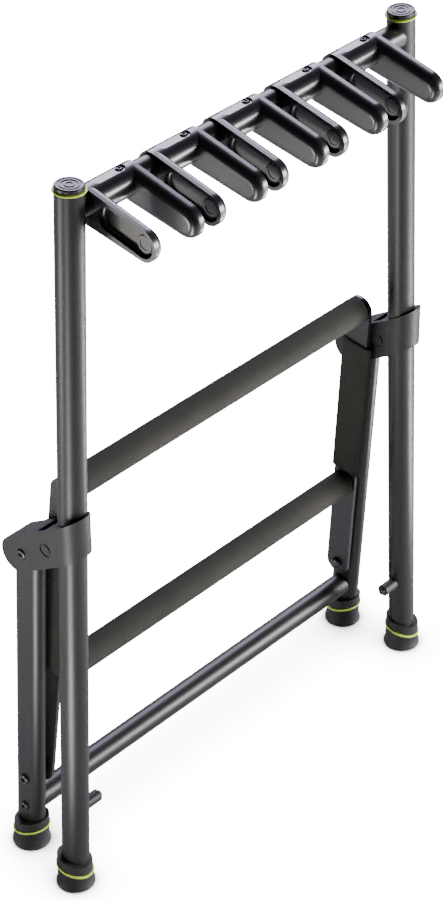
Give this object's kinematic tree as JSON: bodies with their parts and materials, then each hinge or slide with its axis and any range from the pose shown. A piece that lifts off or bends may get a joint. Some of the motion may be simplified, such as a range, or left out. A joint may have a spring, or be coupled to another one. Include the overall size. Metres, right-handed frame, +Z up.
{
  "type": "folding multi-guitar rack",
  "caption": "Folding floor rack for guitars: splayed tube posts, neck cradles on a top bar, rear legs and a fold-up support frame with foam-covered bars, shown folded.",
  "frame": {"origin": "floor, under the middle of the folded rack's box", "axes": "+X along the neck bar toward the right post (seen from the front), +Y from the posts toward the rear legs, so the cradles open toward -Y, +Z up"},
  "size_m": [0.554, 0.1824, 0.8023],
  "materials": {
    "black_tube": "satin black powder coat",
    "arm_plate": "satin dark grey powder coat",
    "cradle_plastic": "glossy blue-black moulding",
    "cap_plastic": "fine satin moulding",
    "bracket_plastic": "matt charcoal moulding",
    "disc_plastic": "plain ringed disc, satin gloss",
    "insert_plastic": "plain black plastic",
    "lime_ring": "bright lime green, plain",
    "boot_rubber": "dark moulded rubber",
    "foam": "matt brown-grey closed-cell foam with a fine skin",
    "dark_steel": "black oxide"
  },
  "bodies": {
    "post_frame": {"left_post": "black_tube", "right_post": "black_tube", "neck_bar": "black_tube", "left_post_cap": "cap_plastic", "left_cap_ring": "lime_ring", "left_post_boot": "boot_rubber", "left_post_boot_ring": "lime_ring", "right_post_cap": "cap_plastic", "right_cap_ring": "lime_ring", "right_post_boot": "boot_rubber", "right_post_boot_ring": "lime_ring", "neck_cradle_1": "cradle_plastic", "neck_cradle_2": "cradle_plastic", "neck_cradle_3": "cradle_plastic", "neck_cradle_4": "cradle_plastic", "neck_cradle_5": "cradle_plastic", "prong_discs": "disc_plastic", "cradle_screws": "dark_steel", "left_hinge_bracket": "bracket_plastic", "right_hinge_bracket": "bracket_plastic", "hinge_bolts": "dark_steel", "hinge_nuts": "dark_steel", "rest_rollers": "boot_rubber", "rest_screws": "dark_steel"},
    "leg_frame": {"left_rear_leg": "black_tube", "left_leg_boot": "boot_rubber", "left_leg_boot_ring": "lime_ring", "right_rear_leg": "black_tube", "right_leg_boot": "boot_rubber", "right_leg_boot_ring": "lime_ring", "crossbar": "black_tube", "crossbar_inserts": "insert_plastic", "crossbar_screws": "dark_steel", "hinge_bushes": "insert_plastic", "arm_spacers": "insert_plastic", "arm_pivot_bolts": "dark_steel", "arm_pivot_nuts": "dark_steel"},
    "support_frame": {"left_support_arm": "arm_plate", "left_arm_foam": "foam", "right_support_arm": "arm_plate", "right_arm_foam": "foam", "front_bar": "black_tube", "front_bar_foam": "foam", "rear_bar": "black_tube", "rear_bar_foam": "foam"}
  },
  "joints": [
    {"name": "leg_hinge", "type": "hinge", "parent": "post_frame", "child": "leg_frame", "pos_m": [0, 0.04501, 0.3943], "axis": [1, 0, 0], "range_deg": [0, 26.15]},
    {"name": "support_hinge", "type": "hinge", "parent": "leg_frame", "child": "support_frame", "pos_m": [0, 0.06529, 0.09298], "axis": [1, 0, 0], "range_deg": [0, 62.3]}
  ]
}
